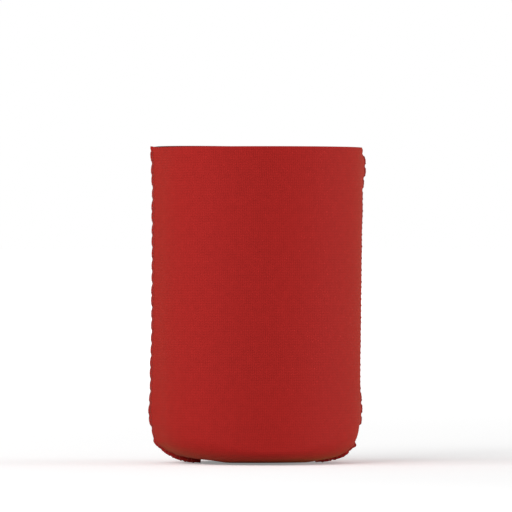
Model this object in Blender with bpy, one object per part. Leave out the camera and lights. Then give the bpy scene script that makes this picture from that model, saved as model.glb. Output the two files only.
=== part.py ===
"""Can cooler sleeve: one folded foam panel, oversewn up both sides, open at the top.

Metres, +Z up. The origin is at the centre of the base, on the surface the sleeve stands on.
The two sewn sides are at -X and +X, and the front panel faces -Y.
"""
import math

import bmesh
import bpy
from mathutils import Vector

# The can space and the panel around it
CAN_DIAMETER = 0.0662
CAN_CLEARANCE = 0.0001
WALL = 0.0023
HEIGHT = 0.108
BACK_RIM_RISE = 0.0008
RIM_RISE_POWER = 0.5

# The rounded lower corner, which is lower at the front and back than at the sewn sides
FRONT_CORNER_HEIGHT = 0.0115
SEAM_CORNER_HEIGHT = 0.0140
FRONT_CORNER_FULLNESS = 2.7
SEAM_CORNER_FULLNESS = 2.25

# The flat of the base, and the fold across it that joins the two panels
FOLD_LENGTH = 0.0400
BASE_FLAT_LENGTH = 0.0416
BASE_FLAT_WIDTH = 0.0240
BASE_FLAT_FULLNESS = 2.6

# The sewn edge, where both layers turn outwards and are pressed together
LAYER_GAP = 0.0003
LAYER_THICKNESS = 0.0015
EDGE_WIDTH = 0.0014
EDGE_ROUNDING = 0.0003
EDGE_FILLET_HEIGHT = 0.0003
EDGE_FILLET_SPREAD = 0.0007
SEAM_GROOVE_DEPTH = 0.0015

# The overlock thread
THREAD_DIAMETER = 0.0004
THREAD_CLEARANCE = 0.0003
STITCH_PITCH = 0.0041
PASSES_PER_STITCH = 2
STITCH_DEPTH = 0.0008
THREAD_END_MARGIN = 0.0012

# The base is arched a little over each sewn end, so that the thread stays off the ground
GROUND_CLEARANCE = 0.0001
ARCH_RUN = 0.0065
ARCH_SPREAD = 0.0070
ARCH_FADE_HEIGHT = 0.0090

# How finely the panel is divided
PANEL_COLUMNS = 30
WALL_ROWS = 4
CORNER_ROWS = 9
BASE_ROWS = 3
SHARP_ANGLE = math.radians(50)
SEAM_SAMPLES = 300
THREAD_BEVEL_RESOLUTION = 1

# Colours, as linear red, green and blue
KNIT_COLOUR = (0.33, 0.016, 0.015)
THREAD_COLOUR = (0.42, 0.020, 0.018)
KNIT_ROUGHNESS = 0.85
THREAD_ROUGHNESS = 0.70

OUTER_RADIUS = CAN_DIAMETER / 2 + CAN_CLEARANCE + WALL
LAYER_OFFSET = LAYER_GAP / 2
FACE_OFFSET = LAYER_OFFSET + LAYER_THICKNESS
SEAM_HALF_WIDTH = FACE_OFFSET + EDGE_FILLET_SPREAD
THREAD_STAND_OFF = THREAD_CLEARANCE + THREAD_DIAMETER / 2
ARCH_HEIGHT = EDGE_WIDTH + THREAD_CLEARANCE + THREAD_DIAMETER + GROUND_CLEARANCE
EDGE_POINTS = 3
LAST_ROW = 3.0
STEP = 0.001


def ease(value):
    """A smooth step from 0 to 1."""
    held = min(max(value, 0.0), 1.0)
    return held * held * (3 - 2 * held)


def rounded(angle, fullness):
    """Cosine and sine of a rounder or squarer quarter, by its fullness: 2 is a circle."""
    cosine = math.cos(angle)
    sine = max(math.sin(angle), 0.0)
    power = 2 / fullness
    return math.copysign(abs(cosine) ** power, cosine), sine ** power


def arch(x, y, z):
    """How far the base is raised at a point, above each sewn end."""
    along = ease((abs(x) - FOLD_LENGTH / 2 + ARCH_RUN) / ARCH_RUN)
    beside = 1 - ease((abs(y) - SEAM_HALF_WIDTH) / ARCH_SPREAD)
    below = 1 - ease(z / ARCH_FADE_HEIGHT)
    return ARCH_HEIGHT * along * beside * below


def outer_point(across, down, side):
    """A point of the outer face.

    across runs from the left seam at 0 to the right seam at 1. down is 0 at the rim, 1 where
    the corner starts, 2 at the edge of the flat base and 3 beside the fold. side is -1 for the
    front panel and 1 for the back.
    """
    angle = math.pi * across
    first = math.asin(SEAM_HALF_WIDTH / OUTER_RADIUS)
    around = first + (math.pi - 2 * first) * across
    wall = Vector((-OUTER_RADIUS * math.cos(around), OUTER_RADIUS * math.sin(around), 0))
    flat_cosine, flat_sine = rounded(angle, BASE_FLAT_FULLNESS)
    flat_reach = BASE_FLAT_WIDTH / 2 - SEAM_HALF_WIDTH
    flat_y = SEAM_HALF_WIDTH + flat_reach * flat_sine
    flat = Vector((-BASE_FLAT_LENGTH / 2 * flat_cosine, flat_y, 0))
    fold = Vector((FOLD_LENGTH * (across - 0.5), SEAM_HALF_WIDTH, 0))

    near_seam = math.cos(angle) ** 2
    corner_height = FRONT_CORNER_HEIGHT + (SEAM_CORNER_HEIGHT - FRONT_CORNER_HEIGHT) * near_seam
    fullness = FRONT_CORNER_FULLNESS + (SEAM_CORNER_FULLNESS - FRONT_CORNER_FULLNESS) * near_seam
    if down <= 1:
        rim = HEIGHT
        if side > 0:
            rim += BACK_RIM_RISE * max(math.sin(angle), 0.0) ** RIM_RISE_POWER
        point = wall
        point.z = rim + (corner_height - rim) * down
    elif down <= 2:
        outwards, downwards = rounded(math.pi / 2 * (down - 1), fullness)
        point = flat.lerp(wall, outwards)
        point.z = corner_height * (1 - downwards)
    else:
        point = flat.lerp(fold, down - 2)
    point.z += arch(point.x, point.y, point.z)
    point.y *= side
    return point


def outward(across, down, side):
    """The direction that the outer face looks in at a point."""
    if across in (0, 1):
        return seam_frame(across, down)[1]
    left = outer_point(max(across - STEP, 0), down, side)
    right = outer_point(min(across + STEP, 1), down, side)
    above = outer_point(across, max(down - STEP, 0), side)
    below = outer_point(across, min(down + STEP, LAST_ROW), side)
    return ((right - left).cross(below - above) * side).normalized()


def seam_frame(end, down):
    """The middle of the seam beside the outer face, and the way its edge stands out there."""
    here = outer_point(end, down, 1)
    above = outer_point(end, max(down - STEP, 0), 1)
    below = outer_point(end, min(down + STEP, LAST_ROW), 1)
    along = below - above
    outwards = Vector((-along.z, 0, along.x))
    if end == 0:
        outwards = -outwards
    return Vector((here.x, 0, here.z)), outwards.normalized()


def edge_points(end, down, side):
    """The sewn edge of one layer: three points of its outer side, then three of its inner."""
    middle, outwards = seam_frame(end, down)
    top = EDGE_WIDTH - EDGE_ROUNDING
    outer = (
        (LAYER_OFFSET + LAYER_THICKNESS / 2, EDGE_WIDTH),
        (FACE_OFFSET, top),
        (FACE_OFFSET, EDGE_FILLET_HEIGHT),
    )
    inner = (
        (LAYER_OFFSET, top),
        (LAYER_OFFSET, 0),
        (LAYER_OFFSET, SEAM_GROOVE_DEPTH - WALL),
    )

    def stand(beside, out):
        return middle + outwards * out + Vector((0, side * beside, 0))

    return [stand(*pair) for pair in outer], [stand(*pair) for pair in inner]


def panel_row(down, side):
    """One row of a panel: its outer points and, behind each, its inner point."""
    left_outer, left_inner = edge_points(0, down, side)
    right_outer, right_inner = edge_points(1, down, side)
    outer = []
    inner = []
    for column in range(PANEL_COLUMNS + 1):
        across = column / PANEL_COLUMNS
        point = outer_point(across, down, side)
        outer.append(point)
        inner.append(point - outward(across, down, side) * WALL)
    outer = left_outer + outer + right_outer[::-1]
    inner = left_inner + inner + right_inner[::-1]
    return outer, inner


def row_places():
    """Where the rows lie, from the rim to the fold."""
    wall = [row / WALL_ROWS for row in range(WALL_ROWS)]
    corner = [1 + row / CORNER_ROWS for row in range(CORNER_ROWS)]
    base = [2 + row / BASE_ROWS for row in range(BASE_ROWS + 1)]
    return wall + corner + base


def make_sleeve():
    """The folded panel as one closed skin."""
    vertices = []
    faces = []

    def add(points):
        first = len(vertices)
        vertices.extend(points)
        return list(range(first, first + len(points)))

    last = {}
    for side in (-1, 1):
        rows = []
        for down in row_places():
            outer, inner = panel_row(down, side)
            rows.append((add(outer), add(inner)))
        for (outer, inner), (next_outer, next_inner) in zip(rows, rows[1:]):
            for strip, below in ((outer, next_outer), (inner, next_inner)):
                for j in range(len(strip) - 1):
                    faces.append((strip[j], strip[j + 1], below[j + 1], below[j]))
            for j in (0, -1):
                faces.append((outer[j], inner[j], next_inner[j], next_outer[j]))
        outer, inner = rows[0]
        for j in range(len(outer) - 1):
            faces.append((outer[j], outer[j + 1], inner[j + 1], inner[j]))
        last[side] = rows[-1]

    # Across the fold the two panels are one sheet, outside and inside
    (front, front_in), (back, back_in) = last[-1], last[1]
    for j in range(EDGE_POINTS + 1, len(front) - EDGE_POINTS - 2):
        faces.append((front[j], front[j + 1], back[j + 1], back[j]))
    for j in range(EDGE_POINTS - 1, len(front) - EDGE_POINTS):
        faces.append((front_in[j], front_in[j + 1], back_in[j + 1], back_in[j]))

    # Each sewn edge ends bluntly beside the fold: a tip, a face, a fillet, then the panel
    for tip, step in ((0, 1), (-1, -1)):
        touch, groove, seam, panel = (tip + k * step for k in range(1, EDGE_POINTS + 2))
        corner = (front[seam], front_in[touch], back_in[touch], back[seam])
        faces.append(corner + (back[panel], front[panel]))
        faces.append((front_in[touch], front_in[groove], back_in[groove], back_in[touch]))
        for outer, inner in last.values():
            edge = tuple(outer[tip + k * step] for k in range(EDGE_POINTS + 1))
            faces.append(edge + (inner[touch], inner[tip]))

    mesh = bpy.data.meshes.new("sleeve")
    mesh.from_pydata([tuple(v) for v in vertices], [], faces)
    shell = bmesh.new()
    shell.from_mesh(mesh)
    bmesh.ops.recalc_face_normals(shell, faces=shell.faces)
    shell.to_mesh(mesh)
    shell.free()
    mesh.shade_smooth()
    mesh.set_sharp_from_angle(angle=SHARP_ANGLE)
    return mesh


def seam_path(end):
    """The seam from the rim to the fold: distances along it, and the frame at each."""
    stops = []
    travelled = 0.0
    for sample in range(SEAM_SAMPLES + 1):
        middle, outwards = seam_frame(end, LAST_ROW * sample / SEAM_SAMPLES)
        if stops:
            travelled += (middle - stops[-1][1]).length
        stops.append((travelled, middle, outwards))
    return stops


def frame_at(stops, distance):
    """The middle of the seam, and the way its edge stands out, at a distance along it."""
    for before, after in zip(stops, stops[1:]):
        if after[0] >= distance:
            share = (distance - before[0]) / (after[0] - before[0])
            return before[1].lerp(after[1], share), before[2].lerp(after[2], share).normalized()
    return stops[-1][1], stops[-1][2]


def thread_points(end):
    """The overlock thread: over the edge to the back, along it, over to the front, and on."""
    stops = seam_path(end)
    spacing = STITCH_PITCH / PASSES_PER_STITCH
    run = stops[-1][0] - 2 * THREAD_END_MARGIN
    passes = int(run / spacing) + 1
    start = THREAD_END_MARGIN + (run - (passes - 1) * spacing) / 2
    beside = FACE_OFFSET + THREAD_STAND_OFF
    shoulder = LAYER_OFFSET + LAYER_THICKNESS / 2
    over = (
        (-beside, STITCH_DEPTH),
        (-beside, EDGE_WIDTH),
        (-shoulder, EDGE_WIDTH + THREAD_STAND_OFF),
        (shoulder, EDGE_WIDTH + THREAD_STAND_OFF),
        (beside, EDGE_WIDTH),
        (beside, STITCH_DEPTH),
    )
    points = []
    for count in range(passes):
        middle, outwards = frame_at(stops, start + count * spacing)
        ordered = over if count % 2 == 0 else over[::-1]
        for sideways, out in ordered:
            points.append(middle + outwards * out + Vector((0, sideways, 0)))
    return points


def make_thread(name, end):
    """A thread as a round bar along its points, with closed ends."""
    curve = bpy.data.curves.new(name, "CURVE")
    curve.dimensions = "3D"
    curve.bevel_depth = THREAD_DIAMETER / 2
    curve.bevel_resolution = THREAD_BEVEL_RESOLUTION
    curve.use_fill_caps = True
    points = thread_points(end)
    spline = curve.splines.new("POLY")
    spline.points.add(len(points) - 1)
    for knot, point in zip(spline.points, points):
        knot.co = (*point, 1)
    return curve


def make_material(name, colour, roughness):
    """A plain cloth or thread finish."""
    material = bpy.data.materials.new(name)
    material.use_nodes = True
    shader = material.node_tree.nodes["Principled BSDF"]
    shader.inputs["Base Color"].default_value = (*colour, 1)
    shader.inputs["Roughness"].default_value = roughness
    shader.inputs["Metallic"].default_value = 0
    return material


def place(name, data, material):
    """Put a piece into the scene under its own name."""
    data.materials.append(material)
    piece = bpy.data.objects.new(name, data)
    bpy.context.collection.objects.link(piece)
    return piece


def main():
    for leftover in list(bpy.data.objects):
        bpy.data.objects.remove(leftover)
    knit = make_material("red_knit", KNIT_COLOUR, KNIT_ROUGHNESS)
    thread = make_material("red_thread", THREAD_COLOUR, THREAD_ROUGHNESS)
    place("sleeve", make_sleeve(), knit)
    place("left_seam_thread", make_thread("left_seam_thread", 0), thread)
    place("right_seam_thread", make_thread("right_seam_thread", 1), thread)


main()
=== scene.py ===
# %% [markdown]
# # A can cooler sleeve
# This lesson dresses a plain model of a can cooler: a soft red sleeve that keeps a drink cold.
# The real one is a single sheet of foam laminate, knitted cloth outside and inside, folded once
# at the bottom and oversewn up both sides. The plain solids give its place and size, and every
# visible surface is made here.

# %% Load the frame
import bisect
import math
import random

import bpy
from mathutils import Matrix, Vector


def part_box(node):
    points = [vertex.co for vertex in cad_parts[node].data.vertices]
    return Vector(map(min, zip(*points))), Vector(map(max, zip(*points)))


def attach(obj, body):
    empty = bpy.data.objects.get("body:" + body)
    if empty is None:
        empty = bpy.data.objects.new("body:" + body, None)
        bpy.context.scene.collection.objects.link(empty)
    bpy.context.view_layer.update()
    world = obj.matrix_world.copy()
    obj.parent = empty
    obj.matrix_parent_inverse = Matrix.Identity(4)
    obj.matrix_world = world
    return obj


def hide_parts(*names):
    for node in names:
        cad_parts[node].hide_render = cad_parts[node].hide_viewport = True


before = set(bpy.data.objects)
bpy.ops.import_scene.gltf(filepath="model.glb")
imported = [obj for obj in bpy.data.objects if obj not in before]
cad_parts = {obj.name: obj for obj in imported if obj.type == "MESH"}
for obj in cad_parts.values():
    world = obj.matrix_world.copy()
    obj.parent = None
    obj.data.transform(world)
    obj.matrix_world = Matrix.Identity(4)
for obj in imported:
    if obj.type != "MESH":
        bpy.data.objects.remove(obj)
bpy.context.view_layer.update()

# %% [markdown]
# ## Sizes
# A sewn sleeve has few sizes of its own. Its radius and its height come from the solid that it
# replaces, so the two always agree. The rest are the maker's choices. Each is written once, in
# metres, in the cell that first needs it.

# %% The sleeve's radius and height
sleeve_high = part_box("sleeve")[1]
OUTER_RADIUS = sleeve_high.y
BACK_RIM_RISE = 0.0008
HEIGHT = sleeve_high.z - BACK_RIM_RISE
MM = 1000
print("radius", round(OUTER_RADIUS * MM, 2), "height", round(HEIGHT * MM, 2), "mm")

# %% [markdown]
# ## The section of a sewn sleeve
# The sheet is stiff, so it doesn't stay round all the way to the seam. It leaves the circle in a
# straight line, a tangent, and meets the other panel in a blunt ridge. A table says how far each
# ridge stands out, and how far it has slipped towards the back, at some heights. Between them the
# values run smoothly.

# %% How far each seam stands out
SEAM_HALF_WIDTH = 0.0009

# Height above the floor in metres, then the distances outwards and backwards in millimetres.
SEAM_RIDGES = {
    0: ((0.0000, 0.00, 0.0), (0.0032, 0.50, 0.0), (0.0053, 1.00, 0.0), (0.0075, 1.50, 0.0),
        (0.0096, 0.92, 0.0), (0.0115, 1.05, 0.0), (0.0138, 1.38, 0.0), (0.0185, 1.60, 0.0),
        (0.0280, 1.22, 0.0), (0.0450, 1.02, 0.0), (0.0700, 0.98, 0.0), (0.0920, 1.12, 0.0),
        (0.1030, 1.48, 0.0), (0.1072, 1.78, 0.0), (0.1090, 1.50, 0.0)),
    1: ((0.0000, 0.00, 0.0), (0.0022, 2.50, 0.0), (0.0033, 0.30, 0.0), (0.0052, 1.65, 0.0),
        (0.0073, -0.25, 0.0), (0.0094, -0.40, 0.0), (0.0114, -0.35, 0.0), (0.0137, 0.95, 0.0),
        (0.0179, 0.98, 0.0), (0.0280, 0.50, 1.9), (0.0490, 0.65, 2.2), (0.0630, 0.68, 2.2),
        (0.0770, 0.72, 2.2), (0.0910, 0.90, 1.9), (0.0965, 1.10, 0.8), (0.0998, 1.45, 0.0),
        (0.1040, 1.32, 0.0), (0.1062, 0.60, 0.2), (0.1090, 0.10, 0.4)),
}


def ease(value):
    held = min(max(value, 0.0), 1.0)
    return held * held * (3 - 2 * held)


def along_table(table, place):
    """The values of a table at a place between its rows, in metres."""
    for before, after in zip(table, table[1:]):
        if place <= after[0]:
            share = ease((place - before[0]) / (after[0] - before[0]))
            return [(a + (b - a) * share) / MM for a, b in zip(before[1:], after[1:])]
    return [value / MM for value in table[-1][1:]]


def section_point(around, z, side):
    """The wall's outer face: around is 0 at the left seam and pi at the right one."""
    end = 0 if around < math.pi / 2 else 1
    from_seam = around if end == 0 else math.pi - around
    out, slip = along_table(SEAM_RIDGES[end], z)
    ridge_x, ridge_y = OUTER_RADIUS + out, SEAM_HALF_WIDTH + slip * side
    touching = math.atan2(ridge_y, ridge_x)
    touching += math.acos(min(OUTER_RADIUS / math.hypot(ridge_x, ridge_y), 1.0))
    if from_seam < touching:
        share = from_seam / touching
        x = ridge_x + (OUTER_RADIUS * math.cos(touching) - ridge_x) * share
        y = ridge_y + (OUTER_RADIUS * math.sin(touching) - ridge_y) * share
    else:
        x = OUTER_RADIUS * math.cos(from_seam)
        y = OUTER_RADIUS * math.sin(from_seam)
    return Vector((-x if end == 0 else x, y, z))


print("left ridge at half height", [round(v * MM, 2) for v in along_table(SEAM_RIDGES[0], 0.054)])

# %% [markdown]
# ## The shape as a rule
# The sheet could be drawn by hand, or shrunk onto a cylinder as cloth. A formula is better here,
# because the foam is stiff and the form is simple: that section for the wall, a corner that is a
# squarish quarter ellipse, and a flat base that closes on a straight fold. The base hangs a little
# above the floor, because the sleeve stands on the ends of its seams. Two numbers walk over the
# sheet: across, from one seam to the other, and down, from rim to fold.

# %% The corner and the flat of the base
FRONT_CORNER_HEIGHT = 0.0052
SEAM_CORNER_HEIGHT = 0.0180
FRONT_CORNER_FULLNESS = 2.5
SEAM_CORNER_FULLNESS = 2.6
BASE_FLAT_LENGTH = 0.0416
BASE_FLAT_WIDTH = 0.0310
BASE_FLAT_FULLNESS = 2.6


def rounded(angle, fullness):
    """Cosine and sine of a squarish circle. A fullness of 2 is a true circle."""
    cosine = math.cos(angle)
    sine = max(math.sin(angle), 0.0)
    power = 2 / fullness
    return math.copysign(abs(cosine) ** power, cosine), sine ** power


print("corner", FRONT_CORNER_HEIGHT * MM, "mm high in front,", SEAM_CORNER_HEIGHT * MM, "at the seams")

# %% How the base hangs between its seam ends
FOLD_LENGTH = 0.0400
BASE_LIFT = 0.0005
BASE_SHIFT = 0.0007
ARCH_HEIGHT = 0.0014
ARCH_RUN = 0.0075
ARCH_SPREAD = 0.0300
ARCH_FADE_HEIGHT = 0.0090


def arch(x, y, z):
    """The base rises a little more over each sewn end, which stands on the floor."""
    along = ease((abs(x - BASE_SHIFT) - FOLD_LENGTH / 2 + ARCH_RUN) / ARCH_RUN)
    beside = 1 - ease((abs(y) - SEAM_HALF_WIDTH) / ARCH_SPREAD)
    below = 1 - ease(z / ARCH_FADE_HEIGHT)
    return ARCH_HEIGHT * along * beside * below


print("arch over a seam's end", round(arch(BASE_SHIFT + FOLD_LENGTH / 2, 0, 0) * MM, 2), "mm")

# %% A point of the outer face
SIDEWAYS_LEAN = 0.0087
RIM, CORNER_TOP, FLAT_EDGE, FOLD = 0.0, 1.0, 2.0, 3.0


def outer_point(across, down, side):
    """Side is -1 on the front panel and 1 on the back one."""
    angle = math.pi * across
    flat_cosine, flat_sine = rounded(angle, BASE_FLAT_FULLNESS)
    flat_y = SEAM_HALF_WIDTH + (BASE_FLAT_WIDTH / 2 - SEAM_HALF_WIDTH) * flat_sine
    flat = Vector((BASE_SHIFT - BASE_FLAT_LENGTH / 2 * flat_cosine, flat_y, BASE_LIFT))
    fold = Vector((BASE_SHIFT + FOLD_LENGTH * (across - 0.5), SEAM_HALF_WIDTH, BASE_LIFT))
    near_seam = math.cos(angle) ** 2
    corner_height = FRONT_CORNER_HEIGHT + (SEAM_CORNER_HEIGHT - FRONT_CORNER_HEIGHT) * near_seam
    fullness = FRONT_CORNER_FULLNESS + (SEAM_CORNER_FULLNESS - FRONT_CORNER_FULLNESS) * near_seam
    if down <= CORNER_TOP:
        rim = HEIGHT + rim_rise(across, side)
        point = section_point(angle, rim + (corner_height - rim) * down, side)
    elif down <= FLAT_EDGE:
        outwards, downwards = rounded(math.pi / 2 * (down - CORNER_TOP), fullness)
        z = BASE_LIFT + (corner_height - BASE_LIFT) * (1 - downwards)
        point = flat.lerp(section_point(angle, z, side), outwards)
        point.z = z
    else:
        point = flat.lerp(fold, down - FLAT_EDGE)
    point.z += arch(point.x, point.y, point.z)
    point.x += SIDEWAYS_LEAN * point.z
    point.y *= side
    return point


print("middle of the fold", [round(v * MM, 2) for v in outer_point(0.5, FOLD, -1)])

# %% [markdown]
# ## The rim
# A die cuts the rim straight, but once the sleeve is filled it is never level. The back panel of
# this one stands a little higher than the front, both rise a touch at the left seam, and the front
# sinks towards the right one. It could be pulled into shape by hand with proportional editing, but
# a few small terms in a rule can be read and changed later.

# %% How the rim runs
RIM_RISE_POWER = 0.5
RIM_WAVE = 0.00022
RIGHT_DROOP = 0.0010
RIGHT_DROOP_SPREAD = 0.045
LEFT_RISE = 0.00035
LEFT_RISE_SPREAD = 0.040


def rim_rise(across, side):
    bow = max(math.sin(math.pi * across), 0.0)
    left = LEFT_RISE * (1 - ease(across / LEFT_RISE_SPREAD))
    if side > 0:
        wave = RIM_WAVE * math.sin(2 * math.pi * across) * bow + left
        return BACK_RIM_RISE * bow ** RIM_RISE_POWER + wave
    wave = RIM_WAVE * bow + left
    return wave - RIGHT_DROOP * ease((across - 1 + RIGHT_DROOP_SPREAD) / RIGHT_DROOP_SPREAD)


print("front rim at", round((HEIGHT + rim_rise(0.5, -1)) * MM, 2), "mm")

# %% [markdown]
# ## Which way the cloth faces
# The foam has one thickness all over, so the inner face is the outer one pushed inwards along
# its normal. Blender works out normals too, but only from a mesh, and there is none yet. So the
# normal is the cross product of two short steps over the sheet.

# %% The outward direction
STEP = 0.001


def seam_frame(end, down):
    """The middle of the ridge, and the way it stands out."""
    here = (outer_point(end, down, 1) + outer_point(end, down, -1)) / 2
    above = outer_point(end, max(down - STEP, RIM), 1)
    below = outer_point(end, min(down + STEP, FOLD), 1)
    along = below - above
    outwards = Vector((-along.z, 0, along.x))
    if end == 0:
        outwards = -outwards
    return here, outwards.normalized()


def outward(across, down, side):
    if across in (0, 1):
        return seam_frame(across, down)[1]
    margin = min(STEP, across / 2, (1 - across) / 2)
    left = outer_point(across - margin, down, side)
    right = outer_point(across + margin, down, side)
    above = outer_point(across, max(down - STEP, RIM), side)
    below = outer_point(across, min(down + STEP, FOLD), side)
    return ((right - left).cross(below - above) * side).normalized()


print("front faces", tuple(round(c, 2) for c in outward(0.5, 0.5, -1)))

# %% [markdown]
# ## The seam as a road
# Stitches are counted along the seam, so the seam is measured once, from the rim to the fold. A
# curve object could be measured as well, but a list of short steps gives a place and a direction
# at once. Everything sewn asks it where it is and which way the cut edge stands.

# %% Measure the seam
SEAM_SAMPLES = 900
seam_downs = [FOLD * k / SEAM_SAMPLES for k in range(SEAM_SAMPLES + 1)]
seam_frames = {end: [seam_frame(end, down) for down in seam_downs] for end in (0, 1)}
seam_distances = [0.0]
for before, after in zip(seam_frames[0], seam_frames[0][1:]):
    seam_distances.append(seam_distances[-1] + (after[0] - before[0]).length)
SEAM_LENGTH = seam_distances[-1]


def distance_at(down):
    place = min(down / FOLD * SEAM_SAMPLES, SEAM_SAMPLES - 1)
    k = int(place)
    return seam_distances[k] + (seam_distances[k + 1] - seam_distances[k]) * (place - k)


def frame_at(end, distance):
    k = min(max(bisect.bisect(seam_distances, distance) - 1, 0), SEAM_SAMPLES - 1)
    span = seam_distances[k + 1] - seam_distances[k]
    share = (distance - seam_distances[k]) / span
    before, after = seam_frames[end][k], seam_frames[end][k + 1]
    return before[0].lerp(after[0], share), before[1].lerp(after[1], share).normalized()


print("each seam is", round(SEAM_LENGTH * MM, 1), "mm long")

# %% [markdown]
# ## The sewn edge
# An overlock machine trims both layers and wraps thread round them. The foam is pinched where a
# loop crosses the edge and swells between the loops, which gives the wavy outline. At the bottom
# the two layers stand together as a short fin, since nothing pulls them apart there. The edge
# could be a curve with a bevel, but then the cloth beside it wouldn't follow. One rule for its
# height lets the cloth and the thread share the same outline.

# %% Count the stitches
random.seed(8)
STITCH_PITCH = 0.0041
SEAM_END_MARGIN = 0.0012
STITCHES = int((SEAM_LENGTH - SEAM_END_MARGIN) / STITCH_PITCH)
FIRST_STITCH = (SEAM_LENGTH - STITCHES * STITCH_PITCH) / 2
uneven = {end: [random.uniform(-1, 1) for _ in range(STITCHES + 2)] for end in (0, 1)}
print(STITCHES, "stitches of", round(STITCH_PITCH * MM, 1), "mm")

# %% How tightly the stitches pull
PINCH_SHARPNESS = 1.6
FIN_RUN = 0.023
FIN_CALM = 0.75
SLACK = 0.25
SLACK_FROM = 0.012
SLACK_TO = 0.080
SLACK_FADE = 0.008
PUCKER = 0.00030
PUCKER_REACH = 0.0030


def pinch(distance):
    """1 where a loop crosses the edge, 0 half way between two loops."""
    turn = 2 * math.pi * (distance - FIRST_STITCH) / STITCH_PITCH
    return (0.5 + 0.5 * math.cos(turn)) ** PINCH_SHARPNESS


def fin(distance):
    """0 on the wall, rising to 1 where the seam ends under the sleeve."""
    return ease((distance - SEAM_LENGTH + FIN_RUN) / FIN_RUN)


def grip(end, distance):
    """How tightly the stitches pull. The right seam is slack along most of the wall."""
    calm = 1 - FIN_CALM * fin(distance)
    if end == 0:
        return calm
    tight = 1 - ease((distance - SLACK_FROM) / SLACK_FADE)
    tight = max(tight, ease((distance - SLACK_TO) / SLACK_FADE))
    return (SLACK + (1 - SLACK) * tight) * calm


def pucker(end, distance, from_seam):
    """How far a stitch draws the cloth in, beside the seam and on it."""
    strength = grip(end, distance) * math.exp(-from_seam / PUCKER_REACH)
    return -PUCKER * pinch(distance) * strength


print("grip half way down:", [grip(end, SEAM_LENGTH / 2) for end in (0, 1)])

# %% Height of the sewn edge
WALL_EDGE = 0.00042
FIN_EDGE = 0.00176
PINCH_DEPTH = 0.00024
SWELL_HEIGHT = 0.00016


def swell(end, distance):
    """No two stitches swell alike: a smooth run through one random value for each."""
    place = (distance - FIRST_STITCH) / STITCH_PITCH + 1
    k = min(max(int(place), 0), STITCHES)
    share = ease(place - k)
    return uneven[end][k] * (1 - share) + uneven[end][k + 1] * share


def edge_height(end, distance):
    height = WALL_EDGE + (FIN_EDGE - WALL_EDGE) * fin(distance)
    uneven_part = SWELL_HEIGHT * swell(end, distance) * (1 - fin(distance))
    return height + (uneven_part - PINCH_DEPTH * pinch(distance)) * grip(end, distance)


print("edge heights", [round(edge_height(0, d / MM) * MM, 2) for d in (10, 12, 14, 110, 118)])

# %% A place on the sewn edge
EDGE_FULLNESS = 2.4
FACE_SLOPE = 0.26
SHARE_STEP = 0.02


def edge_spot(end, distance, share, standoff=0.0):
    """Share runs over the edge, from -1 at its front foot to 1 at its back foot."""
    middle, outwards = frame_at(end, distance)
    middle = middle + outwards * pucker(end, distance, 0.0)
    height = edge_height(end, distance)

    def section(place):
        held = min(max(place, -1.0), 1.0)
        cosine, sine = rounded(math.pi / 2 * (1 + held), EDGE_FULLNESS)
        past = (abs(place) - abs(held)) * SEAM_HALF_WIDTH
        beside = -SEAM_HALF_WIDTH * cosine + math.copysign(past, place)
        return Vector((0, beside, 0)) + outwards * (height * sine - FACE_SLOPE * past)

    here = section(share)
    if not standoff:
        return middle + here
    slope = section(share + SHARE_STEP) - section(share - SHARE_STEP)
    forward = slope.dot(outwards)
    normal = Vector((0, -forward, 0)) + outwards * slope.y
    return middle + here + normal.normalized() * standoff


print("left edge half way down", [round(v * MM, 2) for v in edge_spot(0, SEAM_LENGTH / 2, 0)])

# %% [markdown]
# ## Small unevenness
# Foam is never as true as a formula. Broad, shallow lumps bend the light on it a little. A
# displace modifier with a noise texture would do it too, but would move the two faces apart. Here
# the lumps are offsets along the outward direction, as the puckers at the stitches are, so the
# inner face follows and the wall keeps its thickness.

# %% Lumps
LUMP = 0.00020
PHASES = 6.28
WAVES_DOWN = 2.4
LUMP_FADE = 1.4
COMMON_SUM = 3
LUMP_WAVES = [
    (random.uniform(1.0, 4.5), random.uniform(0.6, 3.6), random.uniform(0, PHASES)) for _ in range(7)
]


def lump(across, down, side):
    """Seven slow waves that seldom add up to more than the common sum, and none on the base."""
    total = 0.0
    for around, along, phase in LUMP_WAVES:
        total += math.sin(math.pi * around * across + WAVES_DOWN * along * down + phase + side)
    level = 1 - ease((down - CORNER_TOP) * LUMP_FADE)
    return LUMP / COMMON_SUM * total * math.sin(math.pi * across) * level


print("lumps of up to about", LUMP * MM, "mm")

# %% [markdown]
# ## Columns and rows
# The mesh is a grid of real points and not a displaced plane, so its outline is true from every
# side. Columns crowd together near the seams, where the stitches pull, and rows are closer in
# the corner than on the straight wall.

# %% Where the grid's lines lie
PANEL_COLUMNS = 84
WALL_ROWS = 128
CORNER_ROWS = 44
BASE_ROWS = 9
CROWDING = 0.4

columns = []
for k in range(PANEL_COLUMNS + 1):
    even = k / PANEL_COLUMNS
    crowded = 0.5 - 0.5 * math.cos(math.pi * even)
    columns.append((1 - CROWDING) * even + CROWDING * crowded)
columns[-1] = 1.0
rows = [k / WALL_ROWS for k in range(WALL_ROWS)]
rows += [CORNER_TOP + k / CORNER_ROWS for k in range(CORNER_ROWS)]
rows += [FLAT_EDGE + k / BASE_ROWS for k in range(BASE_ROWS)] + [FOLD]
print(len(columns), "columns and", len(rows), "rows on each panel")

# %% [markdown]
# ## One row of the sheet
# A row runs from the tip of the left edge, down its face, round the panel and up the right edge.
# A second line of points lies behind it for the inside. Beside each point goes its place on the
# flat cloth, in millimetres, so the knit can later run straight up the sleeve and be cut off by
# the seam, as the real cloth is.

# %% Points of a sewn edge
EDGE_STEPS = 8
NOTCH_DEPTH = 0.00012
LAYER_OFFSET = -0.00002

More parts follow.
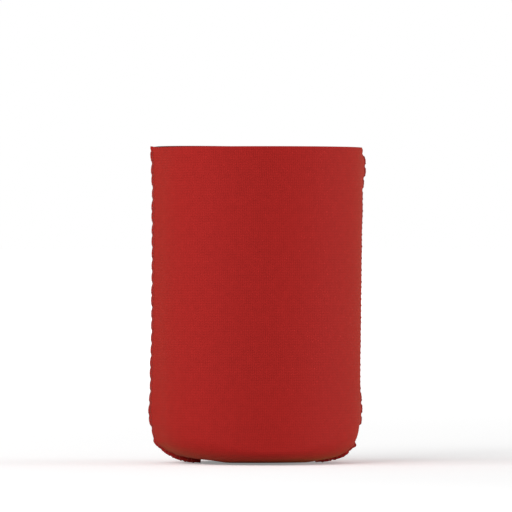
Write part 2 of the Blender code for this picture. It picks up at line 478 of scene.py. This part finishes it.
# Beside the seam's middle and out from it. The layers press together, so they overlap a hair.
EDGE_INSIDE = (
    (LAYER_OFFSET, -0.0002), (LAYER_OFFSET, -0.0010), (LAYER_OFFSET, -0.0019),
    (0.00025, -0.0023), (0.00055, -0.00236),
)


def edge_row(end, down, side):
    """The cut edge of one layer, from its tip to the panel: outer side, then inner side."""
    distance = distance_at(down)
    middle, outwards = frame_at(end, distance)
    middle = middle + outwards * pucker(end, distance, 0.0)
    outer = []
    for k in range(EDGE_STEPS):
        share = k / EDGE_STEPS
        spot = edge_spot(end, distance, side * share)
        if k == 0:
            spot += Vector((0, side * LAYER_OFFSET, 0)) - outwards * NOTCH_DEPTH
        outer.append(spot)
    inner = []
    for beside, out in EDGE_INSIDE:
        inner.append(middle + Vector((0, side * beside, 0)) + outwards * out)
    return outer, inner


print(EDGE_STEPS, "points over each side of a sewn edge")

# %% Points of a panel
WALL = 0.0023
RIM_SOFTNESS = 0.00014
INSIDE_RIM_SOFTNESS = 0.00018


def sheet_row(down, side):
    """A panel's outer line, its inner line, and how far across the cloth each point lies."""
    distance = distance_at(down)
    plain = [outer_point(across, down, side) for across in columns]
    travelled = [0.0]
    for before, after in zip(plain, plain[1:]):
        travelled.append(travelled[-1] + (after - before).length)
    half = travelled[-1] / 2
    drop = RIM_SOFTNESS if down == RIM else 0.0
    inside_drop = INSIDE_RIM_SOFTNESS if down == RIM else 0.0
    outer, inner, across_cloth = [], [], []
    for across, point, along in zip(columns, plain, travelled):
        normal = outward(across, down, side)
        from_seam = min(along, 2 * half - along)
        pull = pucker(0 if across < 0.5 else 1, distance, from_seam)
        shifted = point + normal * (lump(across, down, side) + pull)
        outer.append(shifted - Vector((0, 0, drop)))
        inner.append(shifted - normal * WALL - Vector((0, 0, inside_drop)))
        across_cloth.append((along - half) * MM)
    return outer, inner, across_cloth


print("the front panel is", round(-2 * sheet_row(RIM, -1)[2][0], 1), "mm wide at the rim")

# %% [markdown]
# ## Building the sleeve
# The grid becomes one closed skin: outside, inside, the cut rim between them, the bridge across
# the fold and the blunt ends of the sewn edges. A solidify modifier would be quicker, but it can't
# give the seam its two layers or the rim its soft cut edge.

# %% A small mesh builder
class Skin:
    """Collects points, their places on the flat cloth, and faces with a finish each."""

    def __init__(self):
        self.points, self.cloth, self.faces, self.finishes = [], [], [], []

    def add(self, points, cloth):
        first = len(self.points)
        self.points.extend(points)
        self.cloth.extend(cloth)
        return list(range(first, first + len(points)))

    def face(self, corners, finish):
        self.faces.append(tuple(corners))
        self.finishes.append(finish)

    def strip(self, upper, lower, finish):
        for j in range(len(upper) - 1):
            self.face((upper[j], upper[j + 1], lower[j + 1], lower[j]), finish)

    def mesh(self, name):
        data = bpy.data.meshes.new(name)
        data.from_pydata([tuple(p) for p in self.points], [], self.faces)
        data.polygons.foreach_set("material_index", self.finishes)
        places = data.uv_layers.new(name="cloth")
        corners = [self.cloth[loop.vertex_index] for loop in data.loops]
        places.data.foreach_set("uv", [value for pair in corners for value in pair])
        return data


skin = Skin()
print("an empty skin with", len(skin.points), "points")

# %% A row with both its sewn edges
EDGE_CLOTH_STEP = 0.3


def edge_places(edge, first, along_cloth):
    """Places on the cloth for the points of a sewn edge, beside those of the panel."""
    return [(first + (k - len(edge)) * EDGE_CLOTH_STEP, along_cloth) for k in range(len(edge))]


def mirrored(places):
    return [(-u, v) for u, v in places][::-1]


def add_row(down, side, along_cloth):
    """One row of the sheet with both its sewn edges: the outer line, then the inner one."""
    outer, inner, across_cloth = sheet_row(down, side)
    left_outer, left_inner = edge_row(0, down, side)
    right_outer, right_inner = edge_row(1, down, side)
    middle = list(zip(across_cloth, along_cloth))
    places = edge_places(left_outer, *middle[0])
    inner_places = edge_places(left_inner, *middle[0])
    return (
        skin.add(left_outer + outer + right_outer[::-1], places + middle + mirrored(places)),
        skin.add(
            left_inner + inner + right_inner[::-1],
            inner_places + middle + mirrored(inner_places),
        ),
    )


print("over a sewn edge the cloth moves on", EDGE_CLOTH_STEP, "mm from point to point")

# %% [markdown]
# ## The cut along the rim
# A knife cuts the rim through cloth, foam and cloth. Lines of points from the outside to the
# inside give that cut two soft corners, and the foam between them lies a little lower, because it
# draws back when it is cut. A bevel modifier can't tell the cloth from the foam.

# %% Close the rim
OUTSIDE, CUT_EDGE, INSIDE = 0, 1, 2

# How far in from the outside, how far below the top, and the finish up to there.
RIM_PROFILE = (
    (0.00002, 0.00006, OUTSIDE), (0.00008, 0.00001, OUTSIDE), (0.00016, 0.0, CUT_EDGE),
    (0.00030, 0.00003, CUT_EDGE), (0.00046, 0.00010, CUT_EDGE), (0.00115, 0.00015, CUT_EDGE),
    (0.00184, 0.00013, CUT_EDGE), (0.00192, 0.00004, CUT_EDGE), (0.00204, 0.0, INSIDE),
    (0.00217, 0.00002, INSIDE), (0.00226, 0.00009, INSIDE),
)
RIM_CLOTH_SHARE = 0.2


def close_rim(outer, inner, side):
    """The cut edge of the sheet along the rim, and the tops of its two sewn edges."""
    first_outer, first_inner = EDGE_STEPS, len(EDGE_INSIDE)
    count = len(columns)
    before = outer[first_outer:first_outer + count]
    start, finish = [before[0]], [before[-1]]
    plain = [outer_point(across, RIM, side) for across in columns]
    normals = [outward(across, RIM, side) for across in columns]
    for inset, below, look in RIM_PROFILE:
        line = []
        for across, point, normal in zip(columns, plain, normals):
            from_seam = min(across, 1 - across) * math.pi * OUTER_RADIUS
            pull = pucker(0 if across < 0.5 else 1, 0.0, from_seam)
            offset = lump(across, RIM, side) + pull - inset
            line.append(point + normal * offset - Vector((0, 0, below)))
        rise = inset * MM * RIM_CLOTH_SHARE
        places = [(skin.cloth[b][0], skin.cloth[b][1] + rise) for b in before]
        here = skin.add(line, places)
        skin.strip(here, before, look)
        start.append(here[0])
        finish.append(here[-1])
        before = here
    skin.strip(inner[first_inner:first_inner + count], before, INSIDE)
    left = outer[:first_outer] + start + inner[:first_inner + 1][::-1]
    right = outer[-first_outer:][::-1] + finish + inner[-first_inner - 1:]
    skin.face(left, CUT_EDGE)
    skin.face(right, CUT_EDGE)


print("the rim has", len(RIM_PROFILE), "lines across its", WALL * MM, "mm")

# %% [markdown]
# ## Front and back
# Each panel is laid row by row from the rim to the fold. The cloth's length is measured down every
# column, because it has further to go round a corner near the seams than in the middle.

# %% Lay the two panels
def add_panel(side):
    """One panel from the rim to the fold. It gives back its last row."""
    above = [outer_point(across, RIM, side) for across in columns]
    along_cloth = [0.0] * len(columns)
    lines = []
    for down in rows:
        here = [outer_point(across, down, side) for across in columns]
        steps = [(a - b).length * MM for a, b in zip(above, here)]
        along_cloth = [value - step for value, step in zip(along_cloth, steps)]
        lines.append(add_row(down, side, along_cloth))
        above = here
    for (outer, inner), (next_outer, next_inner) in zip(lines, lines[1:]):
        skin.strip(outer, next_outer, OUTSIDE)
        skin.strip(inner, next_inner, INSIDE)
        for j in (0, -1):
            skin.face((outer[j], inner[j], next_inner[j], next_outer[j]), CUT_EDGE)
    close_rim(*lines[0], side)
    return lines[-1]


front, front_inside = add_panel(-1)
back, back_inside = add_panel(1)
print(len(skin.points), "points before the fold")

# %% [markdown]
# ## Across the fold
# Front and back are one sheet, so a narrow bridge joins them at the bottom. It keeps a shallow
# crease where the sheet was folded flat for sewing. Bridging the two edges with Blender's own tool
# would make a plain strip, so the lines between them are laid one by one, each a little way into
# the crease. Each sewn edge ends bluntly beside it.

# %% The bridge across the fold
FOLD_STEPS = 14
CREASE_DEPTH = 0.00016
CREASE_WIDTH = 0.0009


def bridge(from_line, to_line, finish, depth):
    """Rows across the fold, between two lines of points. It gives back all the lines."""
    lines = [from_line]
    for k in range(1, FOLD_STEPS):
        share = k / FOLD_STEPS
        line, places = [], []
        for a, b in zip(from_line, to_line):
            point = skin.points[a].lerp(skin.points[b], share)
            crease = math.exp(-((point.y / CREASE_WIDTH) ** 2))
            line.append(point + Vector((0, 0, depth * crease)))
            u, v = skin.cloth[a]
            places.append((u, v - share * 2 * SEAM_HALF_WIDTH * MM))
        lines.append(skin.add(line, places))
    lines.append(to_line)
    for upper, lower in zip(lines, lines[1:]):
        skin.strip(upper, lower, finish)
    return lines


panel_out = slice(EDGE_STEPS, EDGE_STEPS + len(columns))
panel_in = slice(len(EDGE_INSIDE), len(EDGE_INSIDE) + len(columns))
under = bridge(front[panel_out], back[panel_out], OUTSIDE, CREASE_DEPTH)
inside = bridge(front_inside[panel_in], back_inside[panel_in], INSIDE, CREASE_DEPTH / 2)
print(len(under), "lines across the fold")

# %% The blunt ends of the sewn edges
TOUCH = 1


def close_end(tip, step, column):
    """Closes the ends of two layers and what is between them. From their tip, step leads inwards."""

    def along_edge(line, first, last):
        return [line[tip + k * step] for k in range(first, last)]

    for outer, inner in ((front, front_inside), (back, back_inside)):
        over = along_edge(outer, 0, EDGE_STEPS + 1)
        skin.face(over + along_edge(inner, 0, TOUCH + 1)[::-1], CUT_EDGE)
    below = [line[column] for line in under]
    touching = [back_inside[tip + TOUCH * step], front_inside[tip + TOUCH * step]]
    skin.face(below + touching, CUT_EDGE)
    valley_front = along_edge(front_inside, TOUCH, len(EDGE_INSIDE))
    valley_back = along_edge(back_inside, TOUCH, len(EDGE_INSIDE))
    above = [line[column] for line in inside]
    skin.face(valley_front + above + valley_back[::-1], CUT_EDGE)


close_end(0, 1, 0)
close_end(-1, -1, -1)
print(len(skin.faces), "faces in the sleeve's skin")

# %% [markdown]
# ## A closed skin
# The faces were made in whatever order was handy, so their directions are put right in one pass.
# An edge with only one face would be a hole, and the count shows that there are none.

# %% The sleeve as an object
import bmesh

SHARP_ANGLE = math.radians(48)
sleeve_mesh = skin.mesh("can_sleeve")
shell = bmesh.new()
shell.from_mesh(sleeve_mesh)
bmesh.ops.recalc_face_normals(shell, faces=shell.faces)
open_edges = sum(1 for edge in shell.edges if len(edge.link_faces) != 2)
print("open edges:", open_edges, "volume:", round(shell.calc_volume() * 1e6, 2), "cm3")
shell.to_mesh(sleeve_mesh)
shell.free()
sleeve_mesh.shade_smooth()
sleeve_mesh.set_sharp_from_angle(angle=SHARP_ANGLE)
can_sleeve = bpy.data.objects.new("can_sleeve", sleeve_mesh)
bpy.context.collection.objects.link(can_sleeve)
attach(can_sleeve, "root")
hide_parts("sleeve")

# %% [markdown]
# ## The overlock stitches
# Three threads make this seam. A needle thread runs along the front, and two looper threads
# zigzag over the two faces and cross each other on the cut edge. Hair or a curve with a bevel
# would do from afar. Here each thread is two plies twisted together, so it also holds up close.

# %% The paths of the looper threads
THREAD_STANDOFF = -0.00003
CROSSING_LIFT = 0.00009
LIFT_START = -0.6
LIFT_STEEPNESS = 2
LOOP_FOOT = 1.45
LOOP_REACH = 0.35
LOOP_SHARPNESS = 1.35
LOOP_SAMPLES = 52


def loop_wave(turn):
    """1 where a loop crosses the edge, 0 where the needle thread holds it down."""
    return abs(math.cos(math.pi * turn)) ** LOOP_SHARPNESS


def looper_path(end, over_front):
    path = []
    for k in range(STITCHES * LOOP_SAMPLES + 1):
        turn = k / LOOP_SAMPLES
        share = -LOOP_FOOT + (LOOP_FOOT + LOOP_REACH) * loop_wave(turn)
        rising = ease((share - LIFT_START) * LIFT_STEEPNESS)
        lift = CROSSING_LIFT * rising if over_front else 0.0
        place = share if over_front else -share
        distance = FIRST_STITCH + turn * STITCH_PITCH
        path.append(edge_spot(end, distance, place, THREAD_STANDOFF + lift))
    return path


print("a looper thread has", len(looper_path(0, True)), "points")

# %% The path of the needle thread
HOLE_DEPTH = 0.00012
HOLE_SPREAD = 0.055


def needle_path(end):
    path = []
    samples = STITCHES * LOOP_SAMPLES * 2 // 3
    for k in range(samples + 1):
        turn = STITCHES * k / samples
        from_hole = turn - math.floor(turn) - 0.5
        dip = math.exp(-((from_hole / HOLE_SPREAD) ** 2))
        standoff = THREAD_STANDOFF + CROSSING_LIFT - HOLE_DEPTH * dip
        path.append(edge_spot(end, FIRST_STITCH + turn * STITCH_PITCH, -LOOP_FOOT, standoff))
    return path


print("a needle thread has", len(needle_path(0)), "points")

# %% [markdown]
# ## Twisting two plies
# Sewing thread is spun plies laid together. A screw modifier twists only along a straight line,
# and these paths bend all the time. So each ply is a thin tube that circles the thread's path, and
# a frame carried along the path without turning keeps the twist even.

# %% A twisted thread
PLY_RADIUS = 0.000095
PLY_OFFSET = 0.000078
TWIST_PITCH = 0.0010
PLY_SIDES = 6


def carried_frames(path):
    """At each point of a path, two directions across it."""
    frames = []
    across = Vector((0, 1, 0))
    for k in range(len(path)):
        ahead = path[min(k + 1, len(path) - 1)] - path[max(k - 1, 0)]
        ahead.normalize()
        across = (across - ahead * across.dot(ahead)).normalized()
        frames.append((across, ahead.cross(across)))
    return frames


def add_twisted(thread, path, start):
    """Start is the part of a turn that the twist begins with."""
    travelled = 0.0
    rings = {0: [], 1: []}
    for k, (point, (first, second)) in enumerate(zip(path, carried_frames(path))):
        if k:
            travelled += (point - path[k - 1]).length
        for ply in (0, 1):
            turn = 2 * math.pi * (travelled / TWIST_PITCH + start) + math.pi * ply
            centre = point + (first * math.cos(turn) + second * math.sin(turn)) * PLY_OFFSET
            ring, places = [], []
            for side in range(PLY_SIDES):
                angle = 2 * math.pi * side / PLY_SIDES
                across = first * math.cos(angle) + second * math.sin(angle)
                ring.append(centre + across * PLY_RADIUS)
                places.append((side / PLY_SIDES + ply, travelled * MM))
            rings[ply].append(thread.add(ring, places))
    for ply_rings in rings.values():
        for a, b in zip(ply_rings, ply_rings[1:]):
            for j in range(PLY_SIDES):
                n = (j + 1) % PLY_SIDES
                thread.face((a[j], a[n], b[n], b[j]), 0)
        thread.face(ply_rings[0][::-1], 0)
        thread.face(ply_rings[-1], 0)


print("a thread is", round((PLY_RADIUS + PLY_OFFSET) * 2 * MM, 2), "mm thick")

# %% The sewing of both seams
FRONT_LOOPER_START, BACK_LOOPER_START, NEEDLE_START = 0.1, 0.6, 0.35
stitches = []
for end, side_name in ((0, "left"), (1, "right")):
    thread = Skin()
    add_twisted(thread, looper_path(end, True), FRONT_LOOPER_START)
    add_twisted(thread, looper_path(end, False), BACK_LOOPER_START)
    add_twisted(thread, needle_path(end), NEEDLE_START)
    mesh = thread.mesh(side_name + "_overlock")
    mesh.shade_smooth()
    piece = bpy.data.objects.new(side_name + "_overlock", mesh)
    bpy.context.collection.objects.link(piece)
    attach(piece, "root")
    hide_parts(side_name + "_seam_thread")
    stitches.append(piece)
    print(piece.name, len(mesh.polygons) * 2, "triangles")

# %% [markdown]
# ## Finishes from nodes
# Every finish is a small tree of nodes, worked out from places on the cloth and not from a
# picture, so it stays sharp however near the camera comes. Four helpers keep the trees readable:
# they start a material, add a node, add a step of arithmetic and blend two colours.

# %% Helpers for node trees
# The Mix node has sockets for every kind of value. These are the numbers of its colour ones.
FIRST_COLOUR, SECOND_COLOUR, MIXED_COLOUR = 6, 7, 2


def new_material(name):
    material = bpy.data.materials.new(name)
    material.use_nodes = True
    tree = material.node_tree
    return material, tree, tree.nodes["Principled BSDF"]


def add_node(tree, kind, inputs=None, **settings):
    node = tree.nodes.new(kind)
    for key, value in settings.items():
        setattr(node, key, value)
    for key, value in (inputs or {}).items():
        if isinstance(value, bpy.types.NodeSocket):
            tree.links.new(value, node.inputs[key])
        else:
            node.inputs[key].default_value = value
    return node


def maths(tree, operation, first, second=0.0, third=0.0):
    values = {0: first, 1: second, 2: third}
    return add_node(tree, "ShaderNodeMath", values, operation=operation).outputs[0]


def blend_colours(tree, factor, first, second):
    values = {0: factor, FIRST_COLOUR: (*first, 1), SECOND_COLOUR: (*second, 1)}
    return add_node(tree, "ShaderNodeMix", values, data_type="RGBA").outputs[MIXED_COLOUR]


print("helpers ready")

# %% [markdown]
# ## Jersey knit
# The cloth on the foam is a fine jersey. From near it is rows of small V-shaped stitches, one
# column of them to each wale, and from far it is smooth with faint upright lines. The tree
# folds the cloth into wales, slants each half and rounds the yarn, and that height drives both
# the bump and a painted shade between the stitches, darker where the yarn dips.

# %% The knit's height
WALE = 1.46
COURSE = 0.87
SLANT = 0.55
WALE_DRIFT = 0.5
LEG_ROUNDING = 0.6
COURSE_ROUNDING = 0.5


def stitch_height(tree):
    """0 in the gaps between the stitches, 1 on the crown of the yarn, and the cloth places."""
    places = add_node(tree, "ShaderNodeUVMap", uv_map="cloth").outputs["UV"]
    drift = add_node(tree, "ShaderNodeTexNoise", {"Vector": places, "Scale": 0.10, "Detail": 2.0})
    shift = maths(tree, "MULTIPLY_ADD", drift.outputs[0], WALE_DRIFT, -WALE_DRIFT / 2)
    parts = add_node(tree, "ShaderNodeSeparateXYZ", {"Vector": places})
    across = maths(tree, "ADD", maths(tree, "DIVIDE", parts.outputs["X"], WALE), shift)
    along = maths(tree, "DIVIDE", parts.outputs["Y"], COURSE)
    in_wale = maths(tree, "SUBTRACT", maths(tree, "FRACT", across), 0.5)
    from_middle = maths(tree, "ABSOLUTE", in_wale)
    leg = maths(tree, "SINE", maths(tree, "MULTIPLY", from_middle, 2 * math.pi))
    slanted = maths(tree, "MULTIPLY_ADD", from_middle, 2 * SLANT, along)
    course = maths(tree, "SINE", maths(tree, "MULTIPLY", maths(tree, "FRACT", slanted), math.pi))
    rounded_leg = maths(tree, "POWER", leg, LEG_ROUNDING)
    rounded_course = maths(tree, "POWER", course, COURSE_ROUNDING)
    return maths(tree, "MULTIPLY", rounded_leg, rounded_course), places


print("stitches of", WALE, "by", COURSE, "mm")

# %% The red knit
RED = (0.378, 0.0158, 0.0136)
# RED_SHADE is painted shade: the knit's colour down in the gaps between its stitches.
RED_SHADE = (0.240, 0.0092, 0.0080)
# The lining is the outer red knit set darker, as painted shade inside the sleeve; its gap colour is
# painted shade between its stitches.
LINING_RED_SHADED = (0.290, 0.0120, 0.0105)
LINING_GAP_SHADE = (0.150, 0.0062, 0.0054)
SHEEN_TINT = (1.0, 0.60, 0.16)
SHEEN_OUTSIDE, SHEEN_INSIDE = 0.10, 0.04
FLECK = 0.5
TONE_SPAN, TONE_START = 0.6, 0.35
FUZZ = 0.25


def knit_material(name, crown, gap, sheen):
    material, tree, shader = new_material(name)
    height, places = stitch_height(tree)
    mottle = add_node(tree, "ShaderNodeTexNoise", {"Vector": places, "Scale": 0.35, "Detail": 4.0})
    fleck = maths(tree, "MULTIPLY_ADD", mottle.outputs[0], FLECK, -FLECK / 2)
    tone = maths(tree, "ADD", maths(tree, "MULTIPLY_ADD", height, TONE_SPAN, TONE_START), fleck)
    # The stitch height blends from the gap's painted shade up to the crown's colour; the fleck is
    # random tone.
    tree.links.new(blend_colours(tree, tone, gap, crown), shader.inputs["Base Color"])
    fuzz = add_node(tree, "ShaderNodeTexNoise", {"Vector": places, "Scale": 9.0, "Detail": 3.0})
    relief = maths(tree, "MULTIPLY_ADD", fuzz.outputs[0], FUZZ, height)
    raised = add_node(tree, "ShaderNodeBump", {"Height": relief, "Strength": 0.5, "Distance": 0.00006})
    tree.links.new(raised.outputs["Normal"], shader.inputs["Normal"])
    shader.inputs["Roughness"].default_value = 0.70
    shader.inputs["Specular IOR Level"].default_value = 0.06
    shader.inputs["Sheen Weight"].default_value = sheen
    shader.inputs["Sheen Roughness"].default_value = 0.42
    shader.inputs["Sheen Tint"].default_value = (*SHEEN_TINT, 1)
    return material


red_knit = knit_material("red_jersey_knit", RED, RED_SHADE, SHEEN_OUTSIDE)
red_lining = knit_material("red_lining_knit", LINING_RED_SHADED, LINING_GAP_SHADE, SHEEN_INSIDE)
print("outside", RED, "inside", LINING_RED_SHADED)

# %% [markdown]
# ## The cut edge and the thread
# The rim is cut and not hemmed, so it shows the foam between the two cloths: matt, a deep red
# and a little porous, with painted shade in its pores. The thread is a spun polyester in the
# cloth's own red, with a soft shine and fibres that follow the twist. Plain colours would do from
# afar. The pores and the fibres cost only a few nodes more and make both hold up from near.

# %% Cut foam
FOAM = (0.160, 0.0075, 0.0066)
FOAM_PORE_SHADE = (0.085, 0.0042, 0.0038)
PORE_SCALE = 4200.0
PORE_CONTRAST = 1.2


def foam_material():
    material, tree, shader = new_material("cut_foam_edge")
    places = add_node(tree, "ShaderNodeTexCoord").outputs["Object"]
    pores = add_node(tree, "ShaderNodeTexVoronoi", {"Vector": places, "Scale": PORE_SCALE})
    depth = maths(tree, "MULTIPLY", pores.outputs["Distance"], PORE_CONTRAST)
    # Painted shade: the foam's colour turns darker the deeper a pore goes.
    tree.links.new(blend_colours(tree, depth, FOAM, FOAM_PORE_SHADE), shader.inputs["Base Color"])
    raised = add_node(
        tree, "ShaderNodeBump", {"Height": depth, "Strength": 0.4, "Distance": 0.00005}, invert=True,
    )
    tree.links.new(raised.outputs["Normal"], shader.inputs["Normal"])
    shader.inputs["Roughness"].default_value = 0.9
    return material


cut_foam = foam_material()
print(cut_foam.name, "has", len(cut_foam.node_tree.nodes), "nodes")

# %% Sewing thread
THREAD_RED = (0.37, 0.018, 0.015)
THREAD_SHADE = (0.27, 0.012, 0.010)
FIBRE_CONTRAST, FIBRE_START = 1.4, -0.2


def thread_material():
    material, tree, shader = new_material("red_sewing_thread")
    places = add_node(tree, "ShaderNodeUVMap", uv_map="cloth").outputs["UV"]
    stretched = add_node(tree, "ShaderNodeMapping", {"Vector": places, "Scale": (9.0, 1.6, 1.0)})
    fibres = add_node(
        tree, "ShaderNodeTexNoise", {"Vector": stretched.outputs[0], "Scale": 2.0, "Detail": 3.0},
    )
    tone = maths(tree, "MULTIPLY_ADD", fibres.outputs[0], FIBRE_CONTRAST, FIBRE_START)
    tree.links.new(
        blend_colours(tree, tone, THREAD_SHADE, THREAD_RED), shader.inputs["Base Color"],
    )
    raised = add_node(
        tree, "ShaderNodeBump",
        {"Height": fibres.outputs[0], "Strength": 0.35, "Distance": 0.00003},
    )
    tree.links.new(raised.outputs["Normal"], shader.inputs["Normal"])
    shader.inputs["Roughness"].default_value = 0.55
    shader.inputs["Sheen Weight"].default_value = 0.2
    shader.inputs["Sheen Tint"].default_value = (*SHEEN_TINT, 1)
    return material


red_thread = thread_material()
print(red_thread.name, "has", len(red_thread.node_tree.nodes), "nodes")

# %% Put the finishes on
for finish in (red_knit, cut_foam, red_lining):
    can_sleeve.data.materials.append(finish)
for piece in stitches:
    piece.data.materials.append(red_thread)
print("finishes:", [m.name for m in can_sleeve.data.materials], red_thread.name)

# %% [markdown]
# ## The camera
# A short lens near by would spread the sleeve's sides and round its rim. A long lens far away
# keeps the sides nearly upright. It stands a little to the left, so the left seam shows its edge
# and the right one turns away, and lower than the rim, so the rim is seen almost level.

# %% Camera
CAMERA_DISTANCE = 2.9
CAMERA_TURN = math.radians(10)
CAMERA_HEIGHT = 0.080
AIM_HEIGHT = 0.0709
FIELD_WIDTH = 0.1754
SENSOR_WIDTH = 36.0

camera_data = bpy.data.cameras.new("camera")
camera_data.sensor_width = SENSOR_WIDTH
camera_data.lens = SENSOR_WIDTH * CAMERA_DISTANCE / FIELD_WIDTH
camera_data.clip_start = 0.05
camera = bpy.data.objects.new("camera", camera_data)
camera.location = (
    -math.sin(CAMERA_TURN) * CAMERA_DISTANCE,
    -math.cos(CAMERA_TURN) * CAMERA_DISTANCE,
    CAMERA_HEIGHT,
)
aim = Vector((0, 0, AIM_HEIGHT)) - camera.location
camera.rotation_euler = aim.to_track_quat("-Z", "Y").to_euler()
bpy.context.collection.objects.link(camera)
bpy.context.scene.camera = camera
print("lens", round(camera_data.lens, 1), "mm")

# %% [markdown]
# ## Floor and light
# A product is often shot in a white tent. Here the world gives the even light of its walls, a
# wide lamp at the front left is the key, and two more brush the sides, where the cloth turns
# away. A panorama picture could give the same light, but three lamps are easier to set one by
# one. The floor adds a glow of its own for the camera only, stronger further back, so that it
# reads white and still keeps a soft shadow.

# %% Floor
FLOOR_SIZE = 60.0
floor_mesh = bpy.data.meshes.new("floor")
half_floor = FLOOR_SIZE / 2
signs = ((-1, -1), (1, -1), (1, 1), (-1, 1))
floor_corners = [(x * half_floor, y * half_floor, 0) for x, y in signs]
floor_mesh.from_pydata(floor_corners, [], [(0, 1, 2, 3)])
floor = bpy.data.objects.new("floor", floor_mesh)
bpy.context.collection.objects.link(floor)
print("floor of", FLOOR_SIZE, "m")

# %% The floor's white
FLOOR_COLOUR = 0.80
FLOOR_COLOUR_SEEN = 0.96
FLOOR_GLOW = 0.19
FAR_GLOW = 0.85
GLOW_START = -0.2
GLOW_END = 2.3

white_floor, tree, shader = new_material("white_floor")
shader.inputs["Roughness"].default_value = 1.0
shader.inputs["Specular IOR Level"].default_value = 0.0
shader.inputs["Emission Color"].default_value = (1, 1, 1, 1)
seen = add_node(tree, "ShaderNodeLightPath").outputs["Is Camera Ray"]
plain, bright = (FLOOR_COLOUR,) * 3, (FLOOR_COLOUR_SEEN,) * 3
tree.links.new(blend_colours(tree, seen, plain, bright), shader.inputs["Base Color"])
spot = add_node(tree, "ShaderNodeTexCoord").outputs["Object"]
away = add_node(tree, "ShaderNodeSeparateXYZ", {"Vector": spot}).outputs["Y"]
ramp = add_node(
    tree, "ShaderNodeMapRange",
    {"Value": away, "From Min": GLOW_START, "From Max": GLOW_END, "To Min": FLOOR_GLOW,
     "To Max": FAR_GLOW},
).outputs["Result"]
tree.links.new(maths(tree, "MULTIPLY", seen, ramp), shader.inputs["Emission Strength"])
floor_mesh.materials.append(white_floor)
print("the floor glows", FLOOR_GLOW, "near the sleeve and", FAR_GLOW, "far behind it")

# %% World
TENT_LIGHT = 0.44
world = bpy.data.worlds.new("white_tent")
world.use_nodes = True
bpy.context.scene.world = world
tree = world.node_tree
background = tree.nodes["Background"]
background.inputs["Color"].default_value = (1, 1, 1, 1)
path = add_node(tree, "ShaderNodeLightPath")
straight = maths(tree, "MAXIMUM", path.outputs["Is Camera Ray"], path.outputs["Is Transmission Ray"])
strength = maths(tree, "MULTIPLY_ADD", straight, 1.0 - TENT_LIGHT, TENT_LIGHT)
tree.links.new(strength, background.inputs["Strength"])
print("tent light", TENT_LIGHT)

# %% Lamps
LAMP_DISTANCE = 1.5
MIDDLE = Vector((0, 0, HEIGHT / 2))


def softbox(name, level, turn, rise, width, height):
    """A square of light round the sleeve: turn 0 is in front, and plus turns it to the right."""
    lamp = bpy.data.lights.new(name, "AREA")
    lamp.shape = "RECTANGLE"
    lamp.size, lamp.size_y = width, height
    lamp.energy = level * math.pi ** 2 * LAMP_DISTANCE ** 2
    turn, rise = math.radians(turn), math.radians(rise)
    flat = math.cos(rise) * LAMP_DISTANCE
    away = Vector((math.sin(turn) * flat, -math.cos(turn) * flat, math.sin(rise) * LAMP_DISTANCE))
    holder = bpy.data.objects.new(name, lamp)
    holder.location = MIDDLE + away
    holder.rotation_euler = (-away).to_track_quat("-Z", "Y").to_euler()
    bpy.context.collection.objects.link(holder)
    print(name, round(lamp.energy, 1), "W")


softbox("key_lamp", 0.46, -42, 24, 0.9, 0.7)
softbox("left_lamp", 0.33, -84, 20, 0.9, 0.9)
softbox("right_lamp", 0.68, 74, 3, 0.9, 0.3)
bpy.context.scene.view_settings.view_transform = "Standard"
